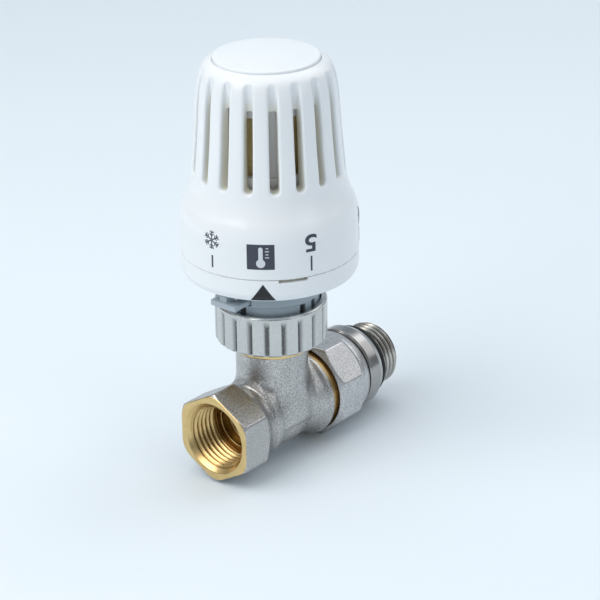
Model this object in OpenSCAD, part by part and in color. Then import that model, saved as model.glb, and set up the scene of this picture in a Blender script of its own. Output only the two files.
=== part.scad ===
// Straight thermostatic radiator valve with its head fitted.
// Frame: origin at the centre of the inlet mouth face, +X along the flow
// towards the radiator, +Z up along the spindle. All sizes in millimetres.

/* [Valve body] */
// Distance from the inlet face to the spindle axis
axis_x = 28; // [27.8:0.1:28.4]
// Across-corner radius of the inlet hexagon
hex_r = 15; // [14.6:0.1:15.4]
// Length of the inlet hexagon
hex_len = 10.7; // [10:0.1:11]
// Wall radius of the inlet thread (major radius of G1/2)
inlet_r = 10.48; // [10.48:0.01:10.6]
// Depth of the inlet thread
inlet_depth = 13; // [12:0.5:13]
// Radius of the vertical neck
neck_r = 11.2; // [11:0.1:11.5]
// Height of the neck above the pipe axis
neck_top = 21.9; // [21.6:0.1:22.2]
// Radius of the outlet spigot (G3/4 male)
spigot_r = 13.2; // [13.1:0.02:13.22]
// Seat orifice radius
seat_r = 4.8; // [4.4:0.1:5]

/* [Union and tail] */
// Across-corner radius of the octagonal union nut
union_r = 16.2; // [16:0.1:16.4]
// End of the union nut along X
union_end = 60.9; // [60.5:0.1:61.2]
// Radius of the tail thread (G1/2 male)
tail_r = 10.4; // [10.3:0.01:10.45]
// End of the tail along X
tail_end = 78.8; // [78.4:0.2:79.6]
// Radius of the waterway through the tail
tail_bore_r = 7.2; // [7:0.1:7.4]
// Radius of the collar that meets the radiator boss
collar_r = 13.6; // [13.4:0.1:13.8]

/* [Head connection] */
// Outer radius of the fluted nut
nut_r = 17.25; // [17.2:0.05:17.5]
// Underside of the fluted nut
nut_z0 = 24.9; // [24.7:0.1:25.1]
// Top of the fluted nut
nut_z1 = 38; // [37.8:0.1:38.2]
// Number of flutes on the nut
flutes = 20; // [18:1:22]
// Male thread radius of the insert (M30 x 1.5)
insert_r = 14.92; // [14.9:0.01:14.95]

/* [Head] */
// Outer radius of the skirt
skirt_r = 27; // [26.9:0.1:27.2]
// Bottom edge of the fixed base ring
base_z0 = 45; // [44.8:0.1:45.2]
// Seam between the fixed base ring and the turning handle
seam_z = 54.6; // [54.4:0.1:54.8]
// Top rim of the handle
handle_top = 114.3; // [114.2:0.1:114.5]
// Number of slots in the handle
slots = 18; // [16:1:20]
// Width of a handle slot
slot_w = 2.6; // [2.4:0.1:3.2]

/* [Hidden] */
$fn = 96;
stroke = 3.2;
seat_z = 1.5;
eps = 0.01;

// ---- helpers ----
// turn a profile given as [x along the pipe, radius] about the X axis
module turn_x(p) { rotate([0, 90, 0]) rotate([0, 0, 0]) rotate_extrude($fn = 96) polygon([for (q = p) [q[1], q[0]]]); }
// turn a profile given as [radius, z] about the spindle axis
module turn_z(p) { translate([axis_x, 0, 0]) rotate_extrude($fn = 96) polygon(p); }
module cyl_x(x0, x1, r, n = 96) { translate([x0, 0, 0]) rotate([0, 90, 0]) cylinder(h = x1 - x0, r = r, $fn = n); }
module cyl_z(z0, z1, r, n = 96) { translate([axis_x, 0, z0]) cylinder(h = z1 - z0, r = r, $fn = n); }
module tube_z(z0, z1, ro, ri) { difference() { cyl_z(z0, z1, ro); cyl_z(z0 - 1, z1 + 1, ri); } }
module tube_x(x0, x1, ro, ri) { difference() { cyl_x(x0, x1, ro); cyl_x(x0 - 1, x1 + 1, ri); } }
// a ring of round section about Z
module o_ring_z(z, rm, rw) { translate([axis_x, 0, z]) rotate_extrude($fn = 64) translate([rm, 0]) circle(r = rw, $fn = 24); }
// coil spring as one closed sweep: rm mean radius, rw wire radius
module coil(z0, z1, rm, rw, turns) {
    k = 8;
    n = turns * 20;
    zz = z1 - z0 - 2 * rw;
    pts = [for (i = [0:n]) let (a = 360 * turns * i / n, z = z0 + rw + zz * i / n)
        for (j = [0:k - 1]) let (b = 360 * j / k)
            [(rm + rw * cos(b)) * cos(a), (rm + rw * cos(b)) * sin(a), z + rw * sin(b)]];
    side = [for (i = [0:n - 1]) for (j = [0:k - 1]) let (j2 = (j + 1) % k)
        [i * k + j, i * k + j2, (i + 1) * k + j2, (i + 1) * k + j]];
    translate([axis_x, 0, 0]) polyhedron(points = pts, faces = concat(
        side, [[for (j = [0:k - 1]) k - 1 - j]], [[for (j = [0:k - 1]) n * k + j]]), convexity = 10);
}

// ---- valve ----
module inlet_hex() {
    intersection() {
        translate([0, 0, 0]) rotate([0, 90, 0]) cylinder(h = hex_len + 1.2, r = hex_r, $fn = 6);
        turn_x([[0, 0], [0, 13.6], [1.2, 15.4], [hex_len - 1, 15.4], [hex_len + 1.2, 12.4], [hex_len + 1.2, 0]]);
    }
}
module valve_body() {
    color([0.72, 0.71, 0.69]) difference() {
        union() {
            inlet_hex();
            // bell-shaped run behind the hexagon, barrel and outlet shoulder
            turn_x([[5, 0], [5, 12], [hex_len + 1, 12.2], [15, 10.9], [16.4, 10.9], [17.2, 12.1], [19.2, 12.1],
                [20.2, 11.2], [33, 11.2], [36, 11.8], [39, 13.2], [40.2, 14.2], [41.4, 14.2], [41.4, 0]]);
            cyl_x(41, 51.5, spigot_r);
            cyl_z(0, neck_top, neck_r);
            translate([axis_x, 0, 0]) sphere(r = 11.6, $fn = 64);
        }
        cyl_x(-1, inlet_depth, inlet_r);
        cyl_x(inlet_depth - 1, inlet_depth + 3.5, 8.2);
        // waterway under the seat, seat orifice, waterway over the seat
        translate([inlet_depth + 3, 0, 0]) rotate([0, 90 + 18, 0]) translate([0, 0, -1]) cylinder(h = 13.5, r = 5, $fn = 64);
        cyl_z(-8.2, -1.2, 6.4);
        cyl_z(-2, seat_z + 1, seat_r);
        cyl_z(seat_z, 9, 8.6);
        // lip round the orifice stays as the seat
        translate([axis_x + 4, 0, 5.6]) rotate([0, 90 + 14, 0]) cylinder(h = 16, r = 5, $fn = 64);
        cyl_x(40, 53, 9.2);
        // bore for the insert
        cyl_z(8, neck_top + 1, 9.4);
    }
    color([0.72, 0.71, 0.69]) tube_z(seat_z - 0.5, seat_z + 0.7, seat_r + 0.9, seat_r);
}
module insert_housing() {
    color([0.80, 0.62, 0.30]) difference() {
        union() {
            cyl_z(neck_top + 0.05, nut_z0 - 0.3, 12.7);
            cyl_z(nut_z0 - 0.6, 32.4, insert_r);
            cyl_z(10.1, neck_top + 0.1, 9.35);
        }
        cyl_z(9, 33, 2.1);
        cyl_z(12, 26, 5.6);
        cyl_z(22.8, 34, 6.2);
        // groove for the outer seal
        translate([axis_x, 0, 13.2]) rotate_extrude($fn = 96) translate([8.2, 0]) square([3, 2.2]);
    }
}
module insert_o_ring() { color([0.06, 0.06, 0.06]) o_ring_z(14.3, 8.8, 0.55); }
module gland_nut() {
    color([0.78, 0.60, 0.28]) difference() {
        union() {
            cyl_z(22.9, 30.6, 6.12);
            translate([axis_x, 0, 30]) cylinder(h = 2, r = 5.8, $fn = 6);
        }
        cyl_z(20, 34, 1.56);
        cyl_z(25.4, 27.8, 3.2);
    }
}
module gland_o_ring() { color([0.06, 0.06, 0.06]) o_ring_z(26.6, 2.35, 0.75); }
module valve_pin() {
    color([0.75, 0.76, 0.78]) union() {
        cyl_z(8.6, 21.8, 2.05);
        cyl_z(21.4, 22.6, 5.0);
        cyl_z(22.2, 35.35, 1.5);
    }
}
module disc_holder() {
    color([0.80, 0.62, 0.30]) difference() {
        union() { cyl_z(6.3, 8.6, 6.6); cyl_z(5.6, 6.4, 6.6); }
        cyl_z(5.4, 6.9, 6.0);
    }
}
module valve_disc() { color([0.08, 0.08, 0.08]) cyl_z(seat_z + 0.75 + stroke, 6.9, 5.95); }
module return_spring() { color([0.7, 0.72, 0.74]) coil(12.05, 21.35, 3.9, 0.45, 5); }

// ---- union and tail ----
module union_nut() {
    color([0.72, 0.71, 0.69]) difference() {
        union() {
            intersection() {
                translate([44, 0, 0]) rotate([0, 90, 0]) rotate([0, 0, -25.5]) cylinder(h = 12.4, r = union_r, $fn = 8);
                turn_x([[44, 0], [44, 14.1], [45.8, 16.5], [53.6, 16.5], [56.2, 14.4], [56.2, 0]]);
            }
            turn_x([[54, 0], [54, 14.4], [57.8, 14.4], [59.6, 14.0], [union_end, 13.4], [union_end, 0]]);
        }
        cyl_x(43, 56.2, spigot_r + 0.08);
        turn_x([[43, 0], [43, 14.0], [44.8, spigot_r + 0.08], [44.8, 0]]);
        cyl_x(56, union_end + 1, 11.05);
    }
}
module tailpiece() {
    color([0.78, 0.76, 0.73]) difference() {
        union() {
            cyl_x(53.4, 55.9, 12.9);
            cyl_x(53.4, 66.4, 10.96);
            cyl_x(66, tail_end - 0.8, tail_r);
            turn_x([[tail_end - 1, 0], [tail_end - 1, tail_r], [tail_end, tail_r - 0.8], [tail_end, 0]]);
        }
        cyl_x(50, tail_end + 1, tail_bore_r);
        // groove for the radiator seal
        translate([68.2, 0, 0]) rotate([0, 90, 0]) difference() { cylinder(h = 2.7, r = 12, $fn = 96); translate([0, 0, -1]) cylinder(h = 5, r = 9.4, $fn = 96); }
    }
}
module tail_collar() {
    color([0.80, 0.79, 0.77]) difference() {
        turn_x([[61.2, 0], [61.2, 13.0], [61.8, collar_r], [66.9, collar_r], [67.7, 12.9], [68.1, 12.0], [68.1, 0]]);
        cyl_x(60, 66.45, 10.98);
        cyl_x(60, 70, tail_r + 0.02);
    }
}
module tail_o_ring() { color([0.05, 0.05, 0.05]) translate([69.55, 0, 0]) rotate([0, 90, 0]) rotate_extrude($fn = 96) translate([10.75, 0]) circle(r = 1.28, $fn = 24); }
module union_seal() { color([0.1, 0.1, 0.1]) tube_x(51.6, 53.3, 12.8, 9.3); }

// ---- head connection ----
module flute_cut() {
    // one V groove, open at the bottom, ramping out under the top rim
    difference() {
        translate([nut_r, 0, nut_z0 - 1]) linear_extrude(height = 14) polygon([[-0.95, -0.1], [-0.95, 0.1], [0.4, 1.6], [0.4, -1.6]]);
        translate([nut_r - 0.95, -3, nut_z1 - 3.7]) rotate([0, 19.4, 0]) translate([-6, 0, 0]) cube([6, 6, 8]);
        translate([nut_r - 2, -3, nut_z1 - 0.95]) cube([4, 6, 4]);
    }
}
module mounting_nut() {
    color([0.74, 0.73, 0.71]) difference() {
        union() {
            turn_z([[insert_r + 0.02, nut_z0], [nut_r - 0.6, nut_z0], [nut_r, nut_z0 + 0.6], [nut_r, nut_z1 - 0.6], [nut_r - 0.5, nut_z1], [insert_r + 0.02, nut_z1]]);
        }
        cyl_z(nut_z0 - 1, 32.6, insert_r + 0.08);
        cyl_z(32.5, nut_z1 + 1, 15.3);
        cyl_z(33.1, 34.8, 15.85);
        for (i = [0:flutes - 1]) translate([axis_x, 0, 0]) rotate([0, 0, 215.8 + i * 360 / flutes]) flute_cut();
    }
}
module base_collar() {
    color([0.62, 0.66, 0.68]) difference() {
        union() {
            turn_z([[9.6, 32.6], [14.95, 32.6], [14.95, 33.4], [15.6, 33.4], [15.6, 34.3], [14.95, 34.6], [14.95, 40.4],
                [15.9, 40.9], [16.2, 41.3], [16.2, 44.6], [18.2, 45.2], [18.2, 46.4], [11.6, 46.4], [11.6, 62], [9.6, 62]]);
        }
        // slits that let the fingers spring, and the window of the lock clip
        for (a = [167, 186, 261, 280, 347, 6, 81, 100, 315, 135]) translate([axis_x, 0, 0]) rotate([0, 0, a])
            translate([12.5, -1.0, 32]) cube([5, 2.0, 7.9]);
        translate([axis_x, 0, 0]) rotate([0, 0, 180]) translate([12.2, -5.2, 41.2]) cube([8, 10.4, 2.2]);
        // hollow between the fingers and the guide tube
        turn_z([[11.6, 32], [13.4, 32], [13.4, 41.0], [11.6, 41.0]]);
    }
}
module base_ring() {
    color([0.93, 0.94, 0.93]) difference() {
        turn_z([[18.5, base_z0 + 0.2], [19.2, base_z0], [20.2, base_z0 + 0.2], [25.0, base_z0 + 2.4], [26.3, base_z0 + 3.1], [skirt_r, base_z0 + 4.8], [skirt_r, seam_z - 0.2],
            [25.3, seam_z - 0.2], [25.3, base_z0 + 5.0], [24.0, base_z0 + 4.2], [19.8, base_z0 + 2.2], [18.5, base_z0 + 2.0]]);
        // window that shows the limit ring
        translate([axis_x, 0, 0]) intersection() {
            translate([0, 0, seam_z - 1.1]) difference() { cylinder(h = 3, r = 30); translate([0, 0, -1]) cylinder(h = 5, r = 24.6); }
            rotate([0, 0, 226]) translate([0, 0, 50]) cube([40, 40, 10]);
            rotate([0, 0, 245 - 90]) translate([0, 0, 50]) cube([40, 40, 10]);
        }
    }
}
module limit_ring() {
    color([0.90, 0.88, 0.78]) union() {
        turn_z([[22.4, 50.6], [25.2, 50.6], [25.2, 54.2], [24.9, 54.4], [24.9, 57.6], [22.4, 57.6]]);
    }
}
module lock_clip() {
    color([0.70, 0.74, 0.76]) translate([axis_x, 0, 0]) rotate([0, 0, 180]) difference() {
        union() {
            translate([13.8, -4.8, 41.5]) cube([8.2, 9.6, 1.5]);
            translate([20.6, -4.8, 41.35]) cube([1.6, 9.6, 1.85]);
            // thumb block, its top sloped to follow the flared ring over it
            translate([0, 0.9, 0]) rotate([90, 0, 0]) linear_extrude(height = 2.75)
                polygon([[19.3, 42.5], [21.4, 42.5], [21.4, 45.2], [20.2, 44.7], [19.3, 44.6]]);
        }
        translate([15.4, -1.4, 41]) cube([2.8, 2.8, 4]);
    }
}

// ---- sensor ----
module sensor_cage() {
    color([0.62, 0.63, 0.62]) difference() {
        union() {
            cyl_z(62.1, 64.2, 17.6);
            tube_z(64, 83.1, 17.6, 15.9);
            tube_z(101.4, 103.5, 17.1, 14.8);
            for (i = [0:8]) translate([axis_x, 0, 0]) rotate([0, 0, 224 + i * 40]) translate([15.0, -1.9, 82.9]) cube([1.9, 3.8, 18.8]);
        }
        cyl_z(60, 66, 9.7);
    }
}
module sensor_capsule() {
    // drawn can, open below, with a locating groove rolled into it
    color([0.76, 0.62, 0.36]) turn_z([[13.6, 80.0], [14.0, 80.0], [14.4, 80.5], [14.4, 85.6], [13.95, 86.4], [14.4, 87.2], [14.4, 100.6], [13.7, 101.4], [0, 101.4], [0, 100.6], [13.6, 100.6]]);
}
module sensor_fill() { color([0.72, 0.70, 0.60]) cyl_z(80.9, 100.6, 13.57); }
module sensor_foot() {
    // end plate of the can, spacer and the pin that guides the spring
    color([0.62, 0.63, 0.62]) union() { cyl_z(80.0, 80.9, 13.57); cyl_z(68.0, 80.1, 9.4); cyl_z(58.1, 68.4, 3); }
}
module sensor_carrier() {
    color([0.86, 0.85, 0.80]) difference() {
        union() {
            cyl_z(101.4, 103, 14.0);
            cyl_z(102.9, 106, 9);
        }
        cyl_z(102.7, 108, 6.3);
    }
}
module push_rod() {
    color([0.82, 0.82, 0.80]) union() {
        cyl_z(35.5, 38, 4.6);
        cyl_z(37.5, 58, 3);
    }
}
module spring_cup() {
    color([0.78, 0.79, 0.78]) difference() {
        cyl_z(40.5, 56, 9.2);
        cyl_z(42.5, 57, 8.2);
        cyl_z(39, 44, 3.1);
    }
}
module overtravel_spring() { color([0.7, 0.72, 0.74]) coil(42.6, 67.9, 6.4, 0.75, 7); }

// ---- handle ----
module slot_cut() {
    // round-ended slot through the handle wall; its top runs out as a closed groove
    translate([17.2, -slot_w / 2, 81.4]) cube([12, slot_w, 22.4]);
    translate([18.3, -slot_w / 2, 100]) cube([12, slot_w, 11.4]);
    translate([17.2, 0, 81.4]) rotate([0, 90, 0]) cylinder(h = 12, r = slot_w / 2, $fn = 24);
    translate([18.3, 0, 111.4]) rotate([0, 90, 0]) cylinder(h = 12, r = slot_w / 2, $fn = 24);
}
module handle() {
    color([0.95, 0.96, 0.96]) difference() {
        turn_z([[skirt_r, seam_z + 0.15], [skirt_r, 65], [26.9, 67], [26.5, 68.8], [25.9, 70.6], [24.9, 72.8], [24.1, 75], [23.45, 77.5], [23.2, 79.5],
            [23.0, 82], [22.1, 91.7], [21.3, 102.7], [20.75, 107.3], [20.4, 109.1], [19.9, 110.9], [19.2, 112.3], [18.2, 113.3], [17.2, 113.9], [16.4, handle_top], [16.05, handle_top], [16.05, 112.6],
            [8, 112.6], [8, 111.4], [14.4, 111.4], [15.4, 110.4], [15.4, 104.3], [17.5, 103.9], [17.6, 101], [18.0, 94], [18.2, 84], [18.6, 79], [20.3, 75], [22.4, 72.2], [24.1, 69.2], [25.3, 66], [25.3, seam_z + 0.15]]);
        for (i = [0:slots - 1]) translate([axis_x, 0, 0]) rotate([0, 0, 225.2 + i * 360 / slots]) slot_cut();
    }
}
module drive_sleeve() {
    color([0.86, 0.85, 0.80]) union() {
        cyl_z(106.6, 111.35, 12);
        cyl_z(103.4, 107, 6.1);
        cyl_z(111.2, 113.2, 7.8);
    }
}
module top_cap() {
    color([0.96, 0.97, 0.97]) difference() {
        union() {
            turn_z([[0, 112.7], [15.85, 112.7], [15.85, 114.6], [15.5, 115.05], [12, 115.55], [6, 115.9], [0, 116.0]]);
        }
        cyl_z(111, 113.5, 8);
    }
}

valve_body();
insert_housing();
insert_o_ring();
gland_nut();
gland_o_ring();
valve_pin();
disc_holder();
valve_disc();
return_spring();
mounting_nut();
union_nut();
tailpiece();
tail_collar();
tail_o_ring();
union_seal();
base_collar();
base_ring();
limit_ring();
lock_clip();
sensor_cage();
sensor_capsule();
sensor_fill();
sensor_foot();
sensor_carrier();
push_rod();
overtravel_spring();
spring_cup();
handle();
drive_sleeve();
top_cap();
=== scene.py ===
"""Thermostatic radiator valve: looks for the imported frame. Lengths in the builders are millimetres, in the row frame."""
import math

import bmesh
import bpy
import numpy as np
import openvdb
from mathutils import Matrix, Vector


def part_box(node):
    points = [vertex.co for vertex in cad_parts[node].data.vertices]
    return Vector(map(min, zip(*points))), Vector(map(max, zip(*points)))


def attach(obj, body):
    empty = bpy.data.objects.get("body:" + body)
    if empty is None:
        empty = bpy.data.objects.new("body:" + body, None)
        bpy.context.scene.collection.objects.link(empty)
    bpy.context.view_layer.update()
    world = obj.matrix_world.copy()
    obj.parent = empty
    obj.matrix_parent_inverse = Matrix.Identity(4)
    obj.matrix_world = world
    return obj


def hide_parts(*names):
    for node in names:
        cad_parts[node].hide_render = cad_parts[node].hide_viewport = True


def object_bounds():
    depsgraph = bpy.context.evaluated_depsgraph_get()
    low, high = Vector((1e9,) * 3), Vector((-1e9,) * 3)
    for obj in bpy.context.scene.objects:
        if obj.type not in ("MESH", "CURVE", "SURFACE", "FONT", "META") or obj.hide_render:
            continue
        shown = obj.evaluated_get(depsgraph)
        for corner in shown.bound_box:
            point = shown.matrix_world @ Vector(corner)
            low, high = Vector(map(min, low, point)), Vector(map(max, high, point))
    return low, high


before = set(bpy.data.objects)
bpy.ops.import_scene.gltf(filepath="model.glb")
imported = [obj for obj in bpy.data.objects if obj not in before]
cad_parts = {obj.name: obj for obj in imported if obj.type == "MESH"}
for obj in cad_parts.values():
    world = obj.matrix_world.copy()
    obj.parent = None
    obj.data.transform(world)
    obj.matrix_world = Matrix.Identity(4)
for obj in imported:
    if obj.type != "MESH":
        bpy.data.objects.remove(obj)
CAD_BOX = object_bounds()
AX = 28.0
F = np.float32


# ---------------------------------------------------------------- profiles
def fillet(pts, n=5):
    """Closed outline with rounded corners. A point is (a, b) or (a, b, radius). Returns points and the directions in and out of each."""
    out = []
    N = len(pts)
    for i, p in enumerate(pts):
        p0 = np.array(pts[i - 1][:2], float)
        p1 = np.array(p[:2], float)
        p2 = np.array(pts[(i + 1) % N][:2], float)
        a, b = p0 - p1, p2 - p1
        la, lb = np.hypot(*a), np.hypot(*b)
        a, b = a / la, b / lb
        ang = math.acos(np.clip(a @ b, -1, 1))
        rad = p[2] if len(p) > 2 else 0
        if rad <= 0 or ang > math.pi - 0.03:
            out.append((p1, -a, b))
            continue
        t = min(rad / math.tan(ang / 2), 0.49 * la, 0.49 * lb)
        r = t * math.tan(ang / 2)
        c = p1 + (a + b) / np.hypot(*(a + b)) * r / math.sin(ang / 2)
        s, e = p1 + a * t - c, p1 + b * t - c
        th = math.acos(np.clip(s @ e / r / r, -1, 1))
        turn = np.sign(s[0] * e[1] - s[1] * e[0])
        for k in range(n + 1):
            u = k / n
            v = (math.sin((1 - u) * th) * s + math.sin(u * th) * e) / math.sin(th)
            d = np.array([-v[1], v[0]]) * turn / np.hypot(*v)
            out.append((c + v, d, d))
    return out


def smooth_curve(pts, step):
    """Points along a Catmull-Rom curve through pts."""
    P = np.array(pts, float)
    P = np.vstack([2 * P[0] - P[1], P, 2 * P[-1] - P[-2]])
    out = []
    for i in range(1, len(P) - 2):
        n = max(1, int(round(np.hypot(*(P[i + 1] - P[i])) / step)))
        for k in range(n):
            t = k / n
            out.append(0.5 * ((2 * P[i]) + (-P[i - 1] + P[i + 1]) * t + (2 * P[i - 1] - 5 * P[i] + 4 * P[i + 1] - P[i + 2]) * t * t
                              + (-P[i - 1] + 3 * P[i] - 3 * P[i + 1] + P[i + 2]) * t ** 3))
    out.append(P[-2])
    return [tuple(q) for q in out]


# ---------------------------------------------------------------- meshes
def build(name, V, faces, N=None, corner=None):
    """A mesh object from points in mm. faces is a list of index arrays with 3 or 4 columns; N is a normal for each point, corner one for each face corner."""
    me = bpy.data.meshes.new(name)
    V = np.asarray(V, float)
    me.vertices.add(len(V))
    me.vertices.foreach_set("co", (V * 0.001).astype(F).ravel())
    loops = np.concatenate([np.asarray(f).ravel() for f in faces]).astype(np.int32)
    tot = np.concatenate([np.full(len(f), np.asarray(f).shape[1]) for f in faces]).astype(np.int32)
    me.loops.add(len(loops))
    me.loops.foreach_set("vertex_index", loops)
    me.polygons.add(len(tot))
    me.polygons.foreach_set("loop_start", (np.cumsum(tot) - tot).astype(np.int32))
    me.polygons.foreach_set("use_smooth", np.ones(len(tot), bool))
    me.update(calc_edges=True)
    me.validate()
    if N is not None:
        me.normals_split_custom_set_from_vertices(np.asarray(N, F).tolist())
    if corner is not None:
        me.normals_split_custom_set(np.asarray(corner, F).tolist())
    o = bpy.data.objects.new(name, me)
    bpy.context.scene.collection.objects.link(o)
    return o


def place(o, body, slot, mat, *nodes):
    o.data.materials.clear()
    o.data.materials.append(mat)
    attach(o, body)
    if nodes:
        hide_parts(*nodes)
    return o


def lathe(name, prof, axis="Z", n=160, radius=None):
    """A closed solid of revolution. prof is fillet()'s outline as (radius, along); radius(r, along, angle) may reshape it.
    Points on the axis have radius 0."""
    P = np.array([p[0] for p in prof])
    din = np.array([p[1] for p in prof])
    dout = np.array([p[2] for p in prof])
    area = 0.5 * np.sum(P[:, 0] * np.roll(P[:, 1], -1) - np.roll(P[:, 0], -1) * P[:, 1])
    m = len(P)
    ang = np.arange(n) * 2 * np.pi / n
    side = 1.0 if area > 0 else -1.0
    idx = np.zeros((m, n), int)
    V = []
    cnt = 0
    for i in range(m):
        if P[i, 0] < 1e-6:
            idx[i, :] = cnt
            V.append([[0.0, 0.0, P[i, 1]]])
            cnt += 1
        else:
            r = np.full(n, P[i, 0])
            if radius is not None:
                r = radius(r, np.full(n, P[i, 1]), ang)
            V.append(np.stack([r * np.cos(ang), r * np.sin(ang), np.full(n, P[i, 1])], 1))
            idx[i, :] = cnt + np.arange(n)
            cnt += n
    V = np.vstack(V)
    quads, tris, cq, ct = [], [], [], []
    ca, sa = np.cos(ang), np.sin(ang)

    def nrm(d, k):
        nr, nz = d[1] * side, -d[0] * side
        return np.stack([nr * ca[k], nr * sa[k], np.full(len(k), nz)], 1)

    k0 = np.arange(n)
    k1 = (k0 + 1) % n
    for i in range(m):
        j = (i + 1) % m
        a0, b0 = P[i, 0] < 1e-6, P[j, 0] < 1e-6
        if a0 and b0:
            continue
        if not a0 and not b0:
            q = np.stack([idx[i, k0], idx[i, k1], idx[j, k1], idx[j, k0]], 1)
            c = np.stack([nrm(dout[i], k0), nrm(dout[i], k1), nrm(din[j], k1), nrm(din[j], k0)], 1)
            if side < 0:
                q, c = q[:, ::-1], c[:, ::-1]
            quads.append(q)
            cq.append(c.reshape(-1, 3))
        elif a0:
            q = np.stack([idx[i, k0], idx[j, k1], idx[j, k0]], 1)
            c = np.stack([nrm(dout[i], k0), nrm(din[j], k1), nrm(din[j], k0)], 1)
            if side < 0:
                q, c = q[:, ::-1], c[:, ::-1]
            tris.append(q)
            ct.append(c.reshape(-1, 3))
        else:
            q = np.stack([idx[i, k0], idx[i, k1], idx[j, k0]], 1)
            c = np.stack([nrm(dout[i], k0), nrm(dout[i], k1), nrm(din[j], k0)], 1)
            if side < 0:
                q, c = q[:, ::-1], c[:, ::-1]
            tris.append(q)
            ct.append(c.reshape(-1, 3))
    if axis == "X":
        V = np.stack([V[:, 2], V[:, 0], V[:, 1]], 1)
    else:
        V = V + np.array([AX, 0, 0])
    faces = ([np.vstack(quads)] if quads else []) + ([np.vstack(tris)] if tris else [])
    cn = np.vstack(cq + ct)
    if axis == "X":
        cn = np.stack([cn[:, 2], cn[:, 0], cn[:, 1]], 1)
    return build(name, V, faces, corner=None if radius is not None else cn)


# ---------------------------------------------------------------- distance fields
def table(poly, h=0.06, pad=1.5):
    """Signed distance to a closed outline, sampled on a grid, as a function of two arrays."""
    P = np.array([p[0] for p in poly] if len(poly[0]) == 3 and np.ndim(poly[0][0]) else poly, float)
    lo, hi = P.min(0) - pad, P.max(0) + pad
    nx, ny = (np.ceil((hi - lo) / h).astype(int) + 1)
    X, Y = np.meshgrid(lo[0] + h * np.arange(nx), lo[1] + h * np.arange(ny), indexing="ij")
    X, Y = X.astype(F), Y.astype(F)
    best = np.full(X.shape, 1e9, F)
    inside = np.zeros(X.shape, bool)
    for i in range(len(P)):
        a, b = P[i - 1], P[i]
        d = b - a
        L = d @ d
        if L < 1e-14:
            continue
        t = np.clip(((X - a[0]) * F(d[0]) + (Y - a[1]) * F(d[1])) / F(L), 0, 1)
        dx, dy = X - a[0] - t * F(d[0]), Y - a[1] - t * F(d[1])
        best = np.minimum(best, dx * dx + dy * dy)
        if abs(d[1]) > 1e-12:
            inside ^= ((Y >= min(a[1], b[1])) & (Y < max(a[1], b[1])) & (X < (a[0] + (Y - a[1]) * (d[0] / d[1]))))
    T = np.sqrt(best)
    T[inside] *= -1

    def f(a, b):
        u = np.clip((a - lo[0]) / h, 0, nx - 1.01)
        v = np.clip((b - lo[1]) / h, 0, ny - 1.01)
        i, j = u.astype(np.int32), v.astype(np.int32)
        fu, fv = (u - i).astype(F), (v - j).astype(F)
        return (T[i, j] * (1 - fu) + T[i + 1, j] * fu) * (1 - fv) + (T[i, j + 1] * (1 - fu) + T[i + 1, j + 1] * fu) * fv

    return f


def smin(a, b, k):
    h = np.maximum(k - np.abs(a - b), 0) / k
    return np.minimum(a, b) - h * h * k * 0.25


def smax(a, b, k):
    return -smin(-a, -b, k)


def box_d(x, y, z, c, half, r=0.0):
    q = [np.abs(v - cc) - hh + r for v, cc, hh in zip((x, y, z), c, half)]
    out = np.sqrt(sum(np.maximum(v, 0) ** 2 for v in q))
    return out + np.minimum(np.maximum(np.maximum(q[0], q[1]), q[2]), 0) - r


def sector(x, y, count, first):
    """Radial and tangential coordinate about the head axis in the nearest of count sectors."""
    r = np.hypot(x - AX, y)
    a = np.arctan2(y, x - AX) - math.radians(first)
    w = 2 * math.pi / count
    a = a - np.round(a / w) * w
    return r * np.cos(a), r * np.sin(a)


def polar(x, y, deg):
    """Coordinates along and across a direction about the head axis."""
    c, s = math.cos(math.radians(deg)), math.sin(math.radians(deg))
    return (x - AX) * c + y * s, -(x - AX) * s + y * c


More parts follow.
